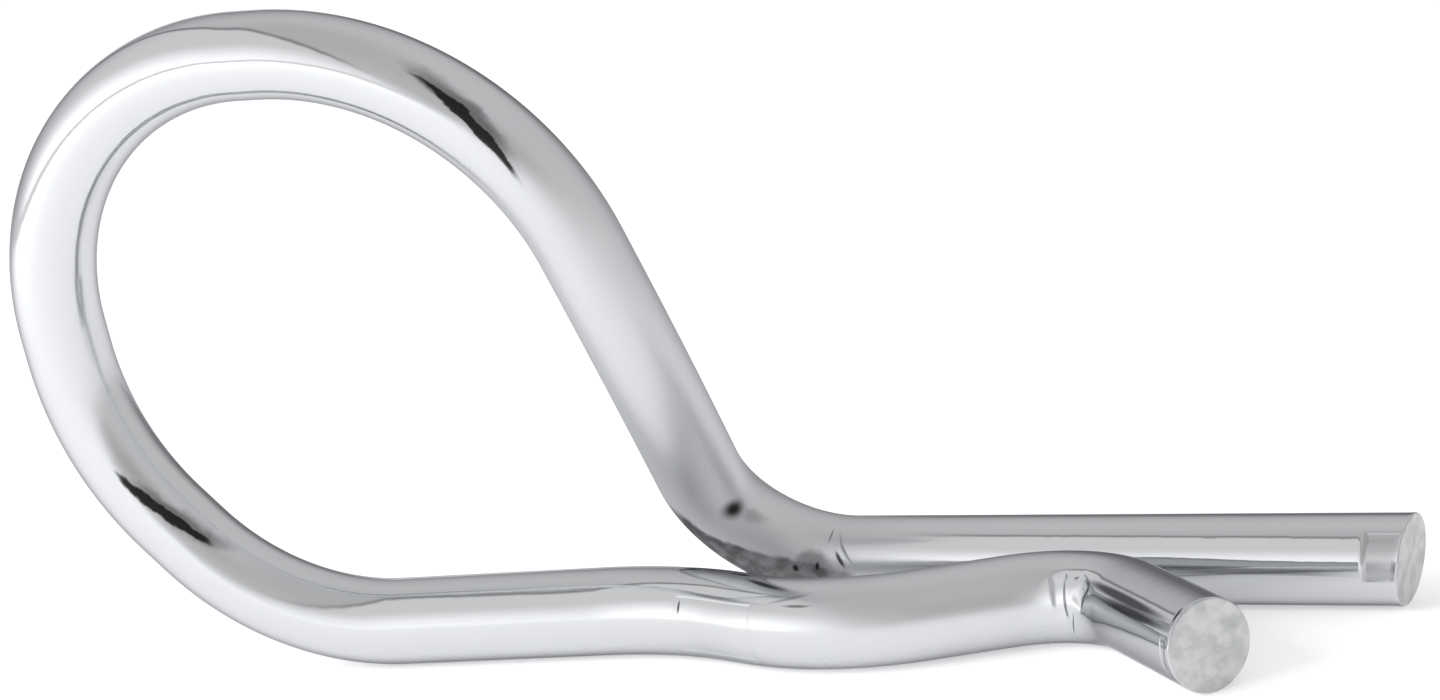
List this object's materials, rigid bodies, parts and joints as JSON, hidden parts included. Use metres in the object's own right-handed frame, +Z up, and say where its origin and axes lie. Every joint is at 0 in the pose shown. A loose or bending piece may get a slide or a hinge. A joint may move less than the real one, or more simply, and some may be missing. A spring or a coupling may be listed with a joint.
{
  "type": "hitch pin clip",
  "caption": "Round-wire spring clip: a straight leg for a shank's cross hole, a wavy leg that grips round the shank, and a raised loop to pull it out by.",
  "frame": {"origin": "on the straight leg's axis, at the middle of the shank that the bow grips", "axes": "+X along the straight leg towards its free end, +Z up out of the plane of the two legs towards the top of the loop, the wavy leg on the -Y side"},
  "size_m": [0.0617, 0.0175, 0.0313],
  "materials": {
    "plated_wire": "bright zinc plate, polished"
  },
  "bodies": {
    "root": {"clip": "plated_wire"}
  },
  "joints": []
}
